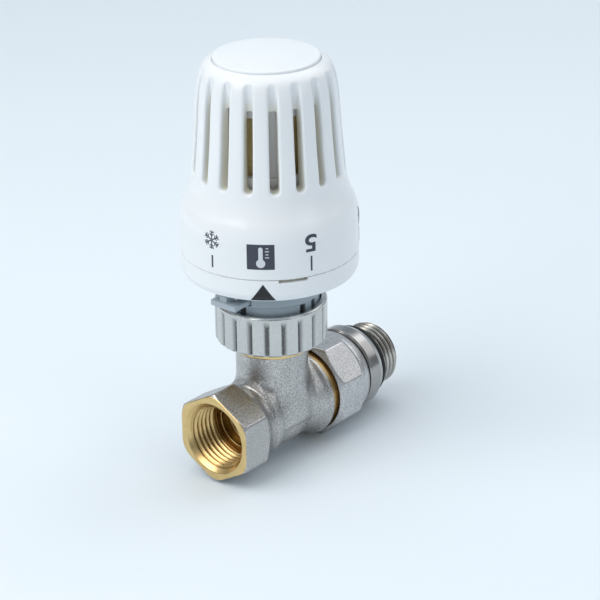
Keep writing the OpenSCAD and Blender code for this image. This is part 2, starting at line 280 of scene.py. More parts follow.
def sdf_piece(name, f, lo, hi, h, attrs=None):
    """Surface of f = 0 as a closed quad mesh with the field's own normals."""
    lo, hi = np.array(lo, float) - 2.2 * h, np.array(hi, float) + 2.2 * h
    n = np.ceil((hi - lo) / h).astype(int) + 1
    xs, ys, zs = [(lo[i] + h * np.arange(n[i])).astype(F) for i in range(3)]
    D = np.empty(tuple(n), F)
    slab = max(1, int(1.2e6 / (n[1] * n[2])))
    for s in range(0, n[0], slab):
        X, Y, Z = np.meshgrid(xs[s:s + slab], ys, zs, indexing="ij")
        D[s:s + slab] = f(X, Y, Z)
    D = np.clip(D, -3 * h, 3 * h)
    g = openvdb.FloatGrid(3 * h)
    g.copyFromArray(D)
    pts, quads = g.convertToQuads(0.0)
    V = pts.astype(float) * h + lo
    e = 0.02
    for it in range(3):
        p = V.astype(np.float64)
        d = f(p[:, 0], p[:, 1], p[:, 2])
        G = np.stack([(f(p[:, 0] + e, p[:, 1], p[:, 2]) - f(p[:, 0] - e, p[:, 1], p[:, 2])),
                      (f(p[:, 0], p[:, 1] + e, p[:, 2]) - f(p[:, 0], p[:, 1] - e, p[:, 2])),
                      (f(p[:, 0], p[:, 1], p[:, 2] + e) - f(p[:, 0], p[:, 1], p[:, 2] - e))], 1) / (2 * e)
        gg = np.maximum((G * G).sum(1), 0.2)
        step = G * (d / gg)[:, None]
        L = np.sqrt((step * step).sum(1))
        step *= np.minimum(1, 0.45 * h / np.maximum(L, 1e-9))[:, None]
        V = V - step
    e = 0.07
    G = np.stack([(f(V[:, 0] + e, V[:, 1], V[:, 2]) - f(V[:, 0] - e, V[:, 1], V[:, 2])),
                  (f(V[:, 0], V[:, 1] + e, V[:, 2]) - f(V[:, 0], V[:, 1] - e, V[:, 2])),
                  (f(V[:, 0], V[:, 1], V[:, 2] + e) - f(V[:, 0], V[:, 1], V[:, 2] - e))], 1)
    G /= np.maximum(np.sqrt((G * G).sum(1)), 1e-9)[:, None]
    q = quads.astype(np.int64)
    a = V[q[:, 1]] - V[q[:, 0]]
    b = V[q[:, 2]] - V[q[:, 0]]
    if (np.cross(a, b) * G[q[:, 0]]).sum() < 0:
        q = q[:, ::-1]
    o = build(name, V, [q], N=G)
    for key, fn in (attrs or {}).items():
        at = o.data.attributes.new(key, "FLOAT", "POINT")
        at.data.foreach_set("value", fn(V[:, 0], V[:, 1], V[:, 2], G).astype(F))
    print("piece", name, "quads", len(q))
    return o


def ramp(v, a, b):
    t = np.clip((v - a) / (b - a), 0, 1)
    return t * t * (3 - 2 * t)


# ---------------------------------------------------------------- materials
def lin(c):
    return tuple((v / 255 / 12.92 if v / 255 <= 0.04045 else ((v / 255 + 0.055) / 1.055) ** 2.4) for v in c)


class Mat:
    """A node material with object coordinates in metres."""

    def __init__(self, name, metal=0.0, coat=0.0, aniso=0.0, ior=1.46):
        self.m = bpy.data.materials.new(name)
        self.m.use_nodes = True
        self.t = self.m.node_tree
        self.b = self.t.nodes["Principled BSDF"]
        self.b.inputs["Metallic"].default_value = metal
        self.b.inputs["Coat Weight"].default_value = coat
        self.b.inputs["Anisotropic"].default_value = aniso
        self.b.inputs["IOR"].default_value = ior
        self.co = self.n("ShaderNodeTexCoord").outputs["Object"]

    def n(self, kind, **kw):
        node = self.t.nodes.new(kind)
        for k, v in kw.items():
            setattr(node, k, v)
        return node

    def put(self, socket, v):
        if hasattr(v, "links"):
            self.t.links.new(v, socket)
        elif isinstance(v, (tuple, list)) and len(v) == 3 and len(socket.default_value) == 4:
            socket.default_value = (*v, 1)
        else:
            socket.default_value = v

    def noise(self, scale, detail=2.0, rough=0.5, co=None, stretch=None):
        node = self.n("ShaderNodeTexNoise")
        node.inputs["Scale"].default_value = scale
        node.inputs["Detail"].default_value = detail
        node.inputs["Roughness"].default_value = rough
        co = co or self.co
        if stretch:
            mp = self.n("ShaderNodeMapping")
            self.t.links.new(co, mp.inputs["Vector"])
            mp.inputs["Scale"].default_value = stretch
            co = mp.outputs["Vector"]
        self.t.links.new(co, node.inputs["Vector"])
        return node.outputs["Fac"]

    def map(self, v, a, b, c, d):
        node = self.n("ShaderNodeMapRange")
        self.put(node.inputs["Value"], v)
        for k, x in zip(("From Min", "From Max", "To Min", "To Max"), (a, b, c, d)):
            node.inputs[k].default_value = x
        return node.outputs["Result"]

    def math(self, op, a, b=0.0):
        node = self.n("ShaderNodeMath", operation=op)
        self.put(node.inputs[0], a)
        self.put(node.inputs[1], b)
        return node.outputs[0]

    def mix(self, f, a, b):
        node = self.n("ShaderNodeMix", data_type="RGBA")
        self.put(node.inputs[0], f)
        self.put(node.inputs[6], a)
        self.put(node.inputs[7], b)
        return node.outputs[2]

    def attr(self, name):
        node = self.n("ShaderNodeAttribute", attribute_name=name)
        return node.outputs["Fac"]

    def color(self, v):
        self.put(self.b.inputs["Base Color"], v)
        return self

    def rough(self, v):
        self.put(self.b.inputs["Roughness"], v)
        return self

    def bump(self, h, dist, strength=1.0):
        node = self.n("ShaderNodeBump")
        node.inputs["Strength"].default_value = strength
        node.inputs["Distance"].default_value = dist
        self.put(node.inputs["Height"], h)
        self.t.links.new(node.outputs["Normal"], self.b.inputs["Normal"])
        return self


def xyz(m):
    s = m.n("ShaderNodeSeparateXYZ")
    m.t.links.new(m.co, s.inputs[0])
    return s.outputs


def plastic(name, rgb, rough=0.3, peel=4e-6, var=0.03, grain=900, coat=0.0):
    m = Mat(name, coat=coat)
    c = lin(rgb)
    dark = tuple(v * (1 - var) for v in c)
    m.color(m.mix(m.map(m.noise(55, 3), 0.35, 0.65, 0, 1), c, dark))
    m.rough(m.map(m.noise(60 if not peel else 260, 2 if not peel else 3), 0.3, 0.7, rough - 0.03, rough + 0.04))
    if peel:
        m.bump(m.noise(grain, 3, 0.6), peel)
    return m


def metal(name, rgb, rough=0.35, grain=2600, dist=1.0e-5, var=0.08, aniso=0.0):
    m = Mat(name, metal=1.0, aniso=aniso)
    c = lin(rgb)
    dark = tuple(v * (1 - var) for v in c)
    m.color(m.mix(m.map(m.noise(90, 4, 0.6), 0.3, 0.7, 0, 1), c, dark))
    m.rough(m.map(m.noise(400, 4, 0.6), 0.3, 0.7, rough - 0.05, rough + 0.07))
    m.bump(m.noise(grain, 3, 0.65), dist)
    return m


def turned(name, rgb, rough=0.26, axis="X", dist=1.6e-6, var=0.06, aniso=0.3):
    """Machined metal: fine cutter rings across one axis over a satin base."""
    m = Mat(name, metal=1.0, aniso=aniso)
    c = lin(rgb)
    dark = tuple(v * (1 - var) for v in c)
    st = (5200, 60, 60) if axis == "X" else (60, 60, 5200)
    rings = m.noise(1.0, 3, 0.7, stretch=st)
    fine = m.noise(2400, 2, 0.6)
    m.color(m.mix(m.map(rings, 0.3, 0.7, 0, 1), c, dark))
    m.rough(m.map(m.noise(300, 4, 0.6), 0.3, 0.7, rough - 0.05, rough + 0.06))
    m.bump(m.math("ADD", m.math("MULTIPLY", rings, 1.0), m.math("MULTIPLY", fine, 0.8)), dist)
    return m


NICKEL = (196, 194, 190)
BRASS = (228, 200, 143)

white = plastic("mat_white_gloss", (238, 242, 245), 0.22, 0, 0.02)
cap_white = plastic("mat_cap_white", (236, 241, 245), 0.24, 0, 0.015)
ivory = plastic("mat_ivory", (248, 243, 222), 0.36, 4e-6, 0.04)
collar_gray = plastic("mat_collar_gray", (158, 170, 178), 0.38, 6e-6, 0.05)
clip_gray = plastic("mat_clip_gray", (176, 187, 194), 0.36, 5e-6, 0.05)
cage_gray = plastic("mat_cage_gray", (228, 227, 228), 0.45, 9e-6, 0.06)
sleeve_white = plastic("mat_sleeve_white", (214, 211, 198), 0.4, 6e-6, 0.05)
carrier_gray = plastic("mat_carrier_gray", (120, 124, 126), 0.5, 9e-6, 0.08)
fill_wax = plastic("mat_sensor_fill", (208, 200, 172), 0.55, 1.2e-5, 0.1)
ink = plastic("mat_print_ink", (64, 69, 82), 0.45, 2e-6, 0.08, 1500)
black_ink = plastic("mat_pointer_black", (26, 28, 34), 0.4, 2e-6, 0.08, 1500)
pale_ink = plastic("mat_print_pale", (216, 222, 228), 0.45, 2e-6, 0.04, 1500)
rubber = plastic("mat_seal_rubber", (20, 22, 26), 0.55, 8e-6, 0.2, 1400)
brass = metal("mat_brass", BRASS, 0.27, 1800, 5e-6, 0.08)
brass_turned = turned("mat_brass_turned", BRASS, 0.26, "Z", 1.8e-6)


def dull_brass():
    """Drawn brass, tarnished: half metal, half oxide, with draw lines along the can."""
    m = Mat("mat_capsule_brass", metal=0.15)
    lines = m.noise(1.0, 3, 0.6, stretch=(1500, 1500, 60))
    blot = m.noise(160, 4, 0.6)
    c = m.mix(m.map(blot, 0.3, 0.7, 0, 1), lin((236, 214, 160)), lin((216, 192, 136)))
    m.color(m.mix(m.map(lines, 0.45, 0.75, 0, 0.6), c, lin((176, 152, 100))))
    m.rough(m.map(m.noise(300, 3), 0.3, 0.7, 0.36, 0.52))
    m.bump(lines, 6e-6)
    return m


capsule_brass = dull_brass()
steel = metal("mat_spring_steel", (186, 188, 190), 0.3, 2200, 4e-6, 0.1)
stainless = turned("mat_stainless_pin", (200, 201, 200), 0.2, "Z", 1.0e-6)
nickel_turned = turned("mat_nickel_turned", (172, 170, 168), 0.2, "X", 5e-7, 0.04, 0.0)


def plated():
    """Shot-blasted nickel plating over brass; the brass shows where the plating was machined away."""
    m = Mat("mat_nickel_blasted", metal=1.0)
    n0 = m.noise(70, 4, 0.6)
    c = m.mix(m.map(n0, 0.3, 0.7, 0, 1), lin((216, 214, 211)), lin((198, 197, 196)))
    grit = m.noise(3000, 2, 0.6)
    pits = m.noise(1500, 2, 0.6)
    c = m.mix(m.map(grit, 0.40, 0.62, 0, 0.7), c, lin((112, 111, 110)))
    edge = m.math("ADD", m.attr("bare"), m.map(m.noise(500, 3, 0.6), 0.3, 0.7, -0.12, 0.12))
    f = m.map(edge, 0.42, 0.58, 0, 1)
    cut = m.mix(m.map(m.noise(260, 4, 0.6), 0.35, 0.7, 0, 0.35), lin(BRASS), lin((196, 162, 98)))
    # painted shade: thread roots and the depth of the inlet darken towards dark brown
    cut = m.mix(m.attr("root"), cut, lin((136, 98, 44)))
    m.color(m.mix(f, c, cut))
    m.rough(m.map(m.noise(420, 4, 0.6), 0.3, 0.7, 0.25, 0.36))
    # the machined brass is smoother than the blasted plating
    h = m.math("ADD", grit, m.math("MULTIPLY", pits, 0.9))
    h = m.math("MULTIPLY", h, m.map(f, 0, 1, 1.0, 0.12))
    m.bump(h, 5.5e-5)
    return m


body_mat = plated().m


def satin_cast(name, hi, lo, grit_scale, grit_mix, rough, dist, painted_shade=None):
    """Die-cast or forged nickel: a satin skin with fine grit in colour and height, and an optional colour for painted
    shade where the mesh's shade mask is set.
    """
    m = Mat(name, metal=1.0)
    grit = m.noise(grit_scale, 2, 0.6)
    cloud = m.noise(120, 4, 0.6)
    c = m.mix(m.map(cloud, 0.3, 0.7, 0, 1), lin(hi), tuple(v * 0.93 for v in lin(hi)))
    c = m.mix(m.map(grit, 0.40, 0.64, 0, grit_mix), c, lin(lo))
    # painted shade: darkens towards the given colour where the shade mask is set
    m.color(m.mix(m.math("MULTIPLY", m.attr("painted_shade"), 0.85), c, lin(painted_shade)) if painted_shade else c)
    m.rough(m.map(m.noise(420, 3, 0.6), 0.3, 0.7, rough - 0.05, rough + 0.06))
    m.bump(m.math("ADD", grit, m.math("MULTIPLY", m.noise(grit_scale * 0.5, 2), 0.6)), dist)
    return m


# the last colour is painted shade in the flutes
nut_mat = satin_cast("mat_nickel_nut", (206, 207, 205), (168, 168, 166), 3000, 0.3, 0.24, 1.2e-5, (92, 93, 94)).m
union_mat = satin_cast("mat_nickel_union", (220, 219, 219), (128, 128, 130), 2600, 0.6, 0.33, 5.5e-5).m

# ---------------------------------------------------------------- hidden and inner pieces keep the frame's shape
CAD_LOOKS = {
    "valve_body": body_mat, "insert_housing": brass_turned.m, "insert_o_ring": rubber.m, "gland_nut": brass_turned.m, "gland_o_ring": rubber.m,
    "valve_pin": stainless.m, "disc_holder": brass_turned.m, "valve_disc": rubber.m, "return_spring": steel.m, "mounting_nut": nut_mat,
    "union_nut": union_mat, "tailpiece": nickel_turned.m, "tail_collar": nickel_turned.m, "tail_o_ring": rubber.m, "union_seal": rubber.m,
    "base_collar": collar_gray.m, "base_ring": white.m, "limit_ring": ivory.m, "lock_clip": clip_gray.m, "sensor_cage": cage_gray.m,
    "sensor_capsule": capsule_brass.m, "sensor_fill": fill_wax.m, "sensor_foot": cage_gray.m, "sensor_carrier": carrier_gray.m, "push_rod": carrier_gray.m, "overtravel_spring": steel.m,
    "spring_cup": brass.m, "handle": white.m, "drive_sleeve": sleeve_white.m, "top_cap": cap_white.m,
}
for node, look in CAD_LOOKS.items():
    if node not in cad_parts:
        continue
    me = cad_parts[node].data
    if me.materials:
        for i in range(len(me.materials)):
            me.materials[i] = look
    else:
        me.materials.append(look)


# ---------------------------------------------------------------- handle
OUT = [(27.0, 54.75), (27.0, 60), (27.0, 65), (26.9, 67), (26.5, 68.8), (25.9, 70.6), (24.9, 72.8), (24.1, 75), (23.45, 77.5), (23.2, 79.5),
       (23.0, 82), (22.1, 91.7), (21.3, 102.7), (20.75, 107.3), (20.4, 109.1), (19.9, 110.9), (19.2, 112.3), (18.2, 113.3), (17.2, 113.9), (16.4, 114.3)]
out_curve = smooth_curve(OUT[1:], 0.5)
IN = [(16.05, 114.3, 0.4), (16.05, 112.6, 0.2), (8, 112.6, 0.2), (8, 111.4, 0.2), (14.4, 111.4, 0.4), (15.4, 110.4, 0.4), (15.4, 104.3, 0.3), (17.5, 103.9, 0.3),
      (17.6, 101), (18.0, 94), (18.2, 84, 2), (18.6, 79, 3), (20.3, 75, 3), (22.4, 72.2, 3), (24.1, 69.2, 3), (25.3, 66, 3), (25.3, 54.75, 0.25)]
handle_poly = fillet([(27.0, 54.75, 0.1)] + [tuple(p) for p in out_curve] + IN)
handle_d = table(handle_poly)


def skin_r(z):
    zz = np.array([p[1] for p in OUT])
    rr = np.array([p[0] for p in OUT])
    return np.interp(z, zz, rr)


def handle_f(x, y, z):
    r = np.hypot(x - AX, y)
    d = handle_d(r, z)
    rad, tan = sector(x, y, 18, 225.2)
    # walls open outwards a little; through the wall below 103.8, a closed groove running out to the skin above
    st = np.hypot(tan, z - np.clip(z, 81.3, 112.0)) - 1.16 - 0.05 * np.clip(rad - 18, 0, 4)
    floor = 17.2 + 1.1 * ramp(z, 103.6, 104.0) + np.maximum(z - 104.0, 0) * 0.1
    cut = smax(st, floor - rad, 0.8)
    return smax(d, -cut, 0.3 + 0.7 * ramp(r, 19.4, 20.8 - np.maximum(z - 100, 0) * 0.1))


def slot_painted_shade(x, y, z, G):
    """Painted warm shade and bounce light on the slot walls, by how far the point lies under the outer skin."""
    r = np.hypot(x - AX, y)
    depth = skin_r(z) - r
    return ramp(depth, 0.5, 2.2) * ramp(z, 78.5, 80) * (1 - ramp(z, 100, 110)) * ramp(r, 15.5, 17.0)


def handle_mat():
    m = Mat("mat_handle_white")
    c = lin((238, 242, 245))
    base = m.mix(m.map(m.noise(55, 3), 0.35, 0.65, 0, 1), c, tuple(v * 0.98 for v in c))
    # painted shade: the slot walls turn warm ivory, standing in for shade and light bounced inside the head
    m.color(m.mix(m.attr("painted_shade"), base, lin((232, 230, 217))))
    m.rough(m.map(m.noise(60, 2), 0.3, 0.7, 0.2, 0.25))
    return m.m


o = sdf_piece("vis_handle", handle_f, (AX - 27, -27, 54.75), (AX + 27, 27, 114.4), 0.4, {"painted_shade": slot_painted_shade})
place(o, "handle", "head_white", handle_mat(), "handle")

# ---------------------------------------------------------------- cap
dome = [(r, 116.0 - r * r / 290) for r in np.linspace(0, 15.0, 26)]
cap = fillet([tuple(p) for p in dome] + [(15.97, 116.0 - 15.97 ** 2 / 290, 0.85), (15.97, 112.7, 0.25), (8, 112.7, 0.15), (8, 113.5), (0, 113.5)], 6)
place(lathe("vis_top_cap", cap, "Z", 192), "handle", "cap_white", cap_white.m, "top_cap")

# ---------------------------------------------------------------- base ring with its window
base_poly = fillet([(18.5, 45.2, 0.1), (19.2, 45.0, 0.3), (20.2, 45.2, 0.6), (25.0, 47.4, 1.5), (26.3, 48.1, 0.8), (27.0, 49.8, 1.5), (27.0, 54.7, 0.1),
                    (25.3, 54.7, 0.2), (25.3, 50.0, 0.6), (24.0, 49.2, 0.6), (19.8, 47.2, 0.5), (18.5, 47.0, 0.2)])
base_d = table(base_poly)


def base_f(x, y, z):
    r = np.hypot(x - AX, y)
    a = np.degrees(np.arctan2(y, x - AX)) % 360
    d = base_d(r, z)
    arc = (np.abs(a - 235.5) - 9.5) * (math.pi / 180 * 26)
    win = np.maximum(np.maximum(arc, 53.75 - z), 24.6 - r)
    return smax(d, -win, 0.25)


o = sdf_piece("vis_base_ring", base_f, (AX - 27, -27, 45), (AX + 27, 27, 54.7), 0.36)
place(o, "valve", "head_white", white.m, "base_ring")

# ---------------------------------------------------------------- collar
collar_poly = fillet([(9.6, 32.6, 0.2), (14.95, 32.6, 0.3), (14.95, 33.4, 0.2), (15.6, 33.4, 0.3), (15.6, 34.3, 0.3), (14.95, 34.6, 0.3), (14.95, 40.4, 0.3),
                      (15.9, 40.9, 0.3), (16.2, 41.3, 0.3), (16.2, 44.6, 0.5), (18.2, 45.2, 0.4), (18.2, 46.4, 0.3), (11.6, 46.4, 0.4), (11.6, 62, 0.3), (9.6, 62, 0.3)])
collar_d = table(collar_poly)


def collar_f(x, y, z):
    r = np.hypot(x - AX, y)
    d = collar_d(r, z)
    cut = np.full(np.shape(d), 9.0)
    for a in (167, 186, 261, 280, 347, 6, 81, 100, 315, 135):
        u, v = polar(x, y, a)
        cut = np.minimum(cut, box_d(u, v, z, (15.0, 0, 35.95), (2.5, 1.0, 3.95), 0.3))
    u, v = polar(x, y, 180)
    cut = np.minimum(cut, box_d(u, v, z, (16.2, 0, 42.3), (4, 5.2, 1.1), 0.2))
    hollow = np.maximum(np.maximum(11.6 - r, r - 13.4), z - 41)
    return smax(d, -np.minimum(cut, hollow), 0.35)


o = sdf_piece("vis_base_collar", collar_f, (AX - 18.2, -18.2, 32.6), (AX + 18.2, 18.2, 62), 0.32)
place(o, "valve", "collar_gray", collar_gray.m, "base_collar")


block_poly = fillet([(19.3, 42.5), (21.4, 42.5), (21.4, 45.2, 0.25), (20.2, 44.7, 0.1), (19.3, 44.6, 0.15)])
block_d = table(block_poly)


def clip_f(x, y, z):
    u, v = AX - x, -y
    plate = box_d(u, v, z, (17.9, 0, 42.25), (4.1, 4.8, 0.75), 0.25)
    lip = box_d(u, v, z, (21.25, 0, 42.3), (0.85, 4.8, 0.95), 0.3)
    block = smax(block_d(u, z), np.abs(v + 0.475) - 1.375, 0.2)
    d = smin(smin(plate, lip, 0.2), block, 0.2)
    hole = box_d(u, v, z, (16.8, 0, 43), (1.4, 1.4, 2), 0.3)
    return smax(d, -hole, 0.25)


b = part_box("lock_clip")
o = sdf_piece("vis_lock_clip", clip_f, [v * 1000 for v in b[0]], [v * 1000 for v in b[1]], 0.16)
place(o, "lock_clip", "clip_gray", clip_gray.m, "lock_clip")

# ---------------------------------------------------------------- mounting nut
nut_poly = fillet([(15.0, 24.9, 0.3), (16.65, 24.9, 0.2), (17.25, 25.5, 0.4), (17.25, 37.4, 0.4), (16.75, 38, 0.2), (15.3, 38, 0.3), (15.3, 34.8, 0.1), (15.85, 34.6, 0.1),
                   (15.85, 33.2, 0.1), (15.3, 32.9, 0.1), (15.0, 32.5, 0.1)])
nut_d = table(nut_poly)


def nut_f(x, y, z):
    r = np.hypot(x - AX, y)
    d = nut_d(r, z)
    rad, tan = sector(x, y, 20, 215.8)
    flank = (np.abs(tan) - 0.06 - (rad - 16.3) * 1.16) * 0.65
    ramp_up = (rad - 16.3) * -math.cos(math.radians(19.4)) + (z - 34.3) * math.sin(math.radians(19.4))
    groove = np.maximum(np.maximum(flank, 16.3 - rad), ramp_up)
    groove = np.maximum(groove, z - 37.1)
    return smax(d, -groove, 0.14)


def flute_painted_shade(x, y, z, G):
    """Painted shade in a flute, growing with its depth."""
    r = np.hypot(x - AX, y)
    rad, tan = sector(x, y, 20, 215.8)
    return np.clip((17.12 - rad) / 0.8, 0, 1) * (r > 16.2) * (np.abs(tan) < 1.2) * (z < 37.05) * (z > 25.2)


o = sdf_piece("vis_mounting_nut", nut_f, (AX - 17.25, -17.25, 24.9), (AX + 17.25, 17.25, 38), 0.2, {"painted_shade": flute_painted_shade})
place(o, "head_nut", "nickel_nut", nut_mat, "mounting_nut")

# ---------------------------------------------------------------- valve body
PITCH = 1.814
barrel_poly = fillet([(0, 4), (12.0, 4), (12.2, 11.7, 1.0), (10.9, 15, 3), (10.9, 16.4, 0.4), (12.1, 17.2, 0.6), (12.1, 19.2, 0.6), (11.2, 20.2, 0.5), (11.2, 33, 6),
                      (11.8, 36, 6), (13.2, 39, 3), (14.2, 40.2, 0.8), (14.2, 41.4, 0.35), (13.2, 41.4, 0.15), (13.2, 51.5, 0.4), (0, 51.5)])
barrel_d = table(barrel_poly)
hexcap_poly = fillet([(0, 0), (13.6, 0, 0.4), (15.4, 1.2, 0.4), (15.4, 9.7, 1.0), (12.4, 11.9, 0.5), (0, 11.9)])
hexcap_d = table(hexcap_poly)


def thread_wave(x, ang, sharp=0.93):
    return np.arcsin(sharp * np.sin(2 * math.pi * x / PITCH - ang)) / math.asin(sharp)


def body_f(x, y, z):
    rx = np.hypot(y, z)
    rz = np.hypot(x - AX, y)
    d = barrel_d(rx, x)
    hx = -np.ones(np.shape(d)) * 99
    for th in (30, 90, 150):
        hx = smax(hx, np.abs(y * math.sin(math.radians(th)) + z * math.cos(math.radians(th))) - 13.0, 0.7)
    hx = smax(hx, hexcap_d(rx, x), 0.4)
    d = smin(d, hx, 0.8)
    neck = np.maximum(rz - 11.2, np.maximum(z - 21.9, -z))
    neck = smax(neck, z - 21.9, 0.4)
    ball = np.sqrt((x - AX) ** 2 + y * y + z * z) - 11.6
    d = smin(d, ball, 1.5)
    d = smin(d, neck, 3.2)
    d = smax(d, z - 21.9, 0.3)
    # bores
    ang = np.arctan2(z, y)
    thr = 9.92 + 0.52 * thread_wave(x, ang) * ramp(x, -0.5, 0.6) * (1 - ramp(x, 11.2, 12.6)) + 0.5 * ramp(x, 11.2, 12.6)
    inlet = np.maximum((rx - thr) * 0.62, np.maximum(x - 13.0, -3 - x))
    mouth = (rx - 11.6 + x) * 0.707
    cav = np.minimum(inlet, np.maximum(mouth, -3 - x))
    cav = smin(cav, smax(rx - 8.2, np.maximum(x - 16.5, 11 - x), 0.6), 0.3)
    ca, sa = math.cos(math.radians(18)), math.sin(math.radians(18))
    t = (x - 16) * ca - z * sa
    n = (x - 16) * sa + z * ca
    cav = smin(cav, smax(np.hypot(n, y) - 5, np.maximum(t - 12.5, -1 - t), 0.4), 0.8)
    cav = smin(cav, smax(rz - 6.4, np.maximum(z + 1.2, -8.2 - z), 0.8), 0.8)
    cav = np.minimum(cav, np.maximum(rz - 4.8, np.maximum(z - 2.5, -2 - z)))
    up = smax(rz - 8.6, np.maximum(z - 9, 1.5 - z), 0.6)
    lip = np.maximum(np.abs(rz - 5.25) - 0.45, np.maximum(z - 2.2, 1.0 - z))
    up = smax(up, -lip, 0.2)
    cav = np.minimum(cav, up)
    ca, sa = math.cos(math.radians(14)), math.sin(math.radians(14))
    t = (x - 32) * ca - (z - 5.6) * sa
    n = (x - 32) * sa + (z - 5.6) * ca
    cav = smin(cav, smax(np.hypot(n, y) - 5, np.maximum(t - 16, -t), 0.4), 0.8)
    cav = smin(cav, np.maximum(rx - 9.2, 40 - x), 0.6)
    cav = smin(cav, np.maximum(rz - 9.4, 8 - z), 0.3)
    return smax(d, -cav, 0.3)


def body_bare(x, y, z, G):
    rx = np.hypot(y, z)
    a = 1 - ramp(x, 0.0, 0.5)
    a = np.maximum(a, (rx < 10.7) * (x < 24) * 1.0)
    a = np.maximum(a, (rx < 11.9) * (1 - ramp(x, 1.5, 1.8)))
    a = np.maximum(a, ramp(x, 41.3, 41.6))
    return np.maximum(a, ((np.hypot(x - AX, y) < 9.6) & (z > 0)) * 1.0)


def body_root_painted_shade(x, y, z, G):
    """Painted shade: thread roots and the depth of the inlet, and half strength past x 41.2."""
    rx = np.hypot(y, z)
    root = ramp(rx, 9.75, 10.4) * ramp(x, 0.9, 1.8) * (1 - ramp(x, 12.6, 13.2))
    return np.clip(root * 0.8 + 0.5 * ramp(x, 11.5, 14) * (x < 24), 0, 1) * (rx < 10.7) + 0.5 * (x > 41.2)


o = sdf_piece("vis_valve_body", body_f, (0, -15, -15), (51.5, 15, 21.9), 0.26, {"bare": body_bare, "root": body_root_painted_shade})
place(o, "valve", "nickel_body", body_mat, "valve_body")

# ---------------------------------------------------------------- insert housing: the gold ring over the neck
ins = fillet([(9.35, 10.1, 0.3), (9.35, 13.2, 0.1), (8.2, 13.2, 0.1), (8.2, 15.4, 0.1), (9.35, 15.4, 0.1), (9.35, 21.95, 0.1), (12.7, 21.95, 0.55), (12.7, 24.0, 0.3), (12.7, 24.3, 0.1), (14.92, 24.3, 0.4),
              (14.92, 32.0, 0.3), (14.5, 32.4, 0.1), (6.2, 32.4, 0.3), (6.2, 22.8, 0.1), (5.6, 22.8, 0.1), (5.6, 12.0, 0.2), (2.1, 12.0, 0.1), (2.1, 10.1, 0.2)])
place(lathe("vis_insert_housing", ins, "Z", 160), "valve", "brass", brass_turned.m, "insert_housing")

# ---------------------------------------------------------------- union nut
union_poly = fillet([(13.28, 44.8, 0.1), (14.0, 44.0, 0.1), (14.1, 44.0, 0.2), (16.5, 45.8, 0.3), (16.5, 53.6, 0.3), (14.4, 56.2, 0.8), (14.3, 57.4, 0.6), (13.9, 59.0, 0.8), (13.1, 60.6, 0.4),
                     (11.05, 60.6, 0.3), (11.05, 56.2, 0.2), (13.28, 56.2, 0.3)])
union_d = table(union_poly)


def union_f(x, y, z):
    rx = np.hypot(y, z)
    d = union_d(rx, x)
    octo = -np.ones(np.shape(d)) * 99
    for k in range(4):
        t = math.radians(115.5 + 22.5 + 45 * k)
        octo = smax(octo, np.abs(y * math.cos(t) + z * math.sin(t)) - 16.2 * math.cos(math.pi / 8), 0.3)
    return smax(d, octo, 0.35)


o = sdf_piece("vis_union_nut", union_f, (44, -16.2, -16.2), (60.9, 16.2, 16.2), 0.26)
place(o, "union_nut", "nickel_nut", union_mat, "union_nut")

# ---------------------------------------------------------------- tail: collar, seal, threaded tailpiece
coll = fillet([(10.98, 61.2, 0.2), (13.0, 61.2, 0.3), (13.6, 61.8, 0.3), (13.6, 65.6, 0.3), (12.5, 67.9, 0.3), (12.0, 68.1, 0.1), (10.42, 68.1, 0.1), (10.42, 66.45, 0.05), (10.98, 66.45, 0.05)])
place(lathe("vis_tail_collar", coll, "X", 160), "tail", "nickel_tail", nickel_turned.m, "tail_collar")
ring = [(10.75 + 1.28 * math.cos(t), 69.55 + 1.28 * math.sin(t)) for t in np.linspace(0, 2 * math.pi, 28, endpoint=False)]
ringp = [(np.array(p), np.array([-math.sin(t), math.cos(t)]), np.array([-math.sin(t), math.cos(t)])) for p, t in zip(ring, np.linspace(0, 2 * math.pi, 28, endpoint=False))]
place(lathe("vis_tail_o_ring", ringp, "X", 128), "tail", "seal_rubber", rubber.m, "tail_o_ring")

tail_poly = fillet([(7.2, 53.4, 0.3), (12.9, 53.4, 0.2), (12.9, 55.9, 0.3), (10.96, 55.9, 0.2), (10.96, 66.4, 0.1), (10.4, 66.4, 0.1), (10.4, 68.2, 0.1), (9.4, 68.2, 0.1),
                    (9.4, 70.9, 0.1), (10.4, 71.1, 0.2), (10.4, 78.0, 0.3), (9.6, 78.8, 0.3), (7.9, 78.8, 0.3), (7.2, 78.2, 0.2)])
tail_d = table(tail_poly)


def tail_f(x, y, z):
    rx = np.hypot(y, z)
    root = 0.5 * (1 - thread_wave(x, np.arctan2(z, y))) * ramp(x, 70.9, 71.6)
    thr = np.where(x > 70.9, 10.4 - 0.95 * root, 20.0)
    return np.maximum(tail_d(rx, x), (rx - thr) * 0.62)


# painted shade in the thread roots of the tailpiece
def tail_root_painted_shade(x, y, z, G):
    rx = np.hypot(y, z)
    return (1 - ramp(rx, 9.5, 10.2)) * (rx > 8.6) * ramp(x, 71, 71.5)


def tail_mat():
    m = Mat("mat_nickel_thread", metal=1.0)
    fine = m.noise(1.0, 3, 0.6, stretch=(4200, 70, 70))
    c = m.mix(m.map(m.noise(150, 3), 0.3, 0.7, 0, 1), lin((206, 203, 198)), lin((190, 186, 178)))
    # painted shade: the thread roots darken towards dark brown
    m.color(m.mix(m.attr("root"), c, lin((92, 84, 72))))
    m.rough(m.map(m.noise(300, 3, 0.6), 0.3, 0.7, 0.2, 0.28))
    m.bump(fine, 8e-7)
    return m


o = sdf_piece("vis_tailpiece", tail_f, (53.4, -12.9, -12.9), (78.8, 12.9, 12.9), 0.2, {"root": tail_root_painted_shade})
place(o, "tail", "nickel_tail", tail_mat().m, "tailpiece")


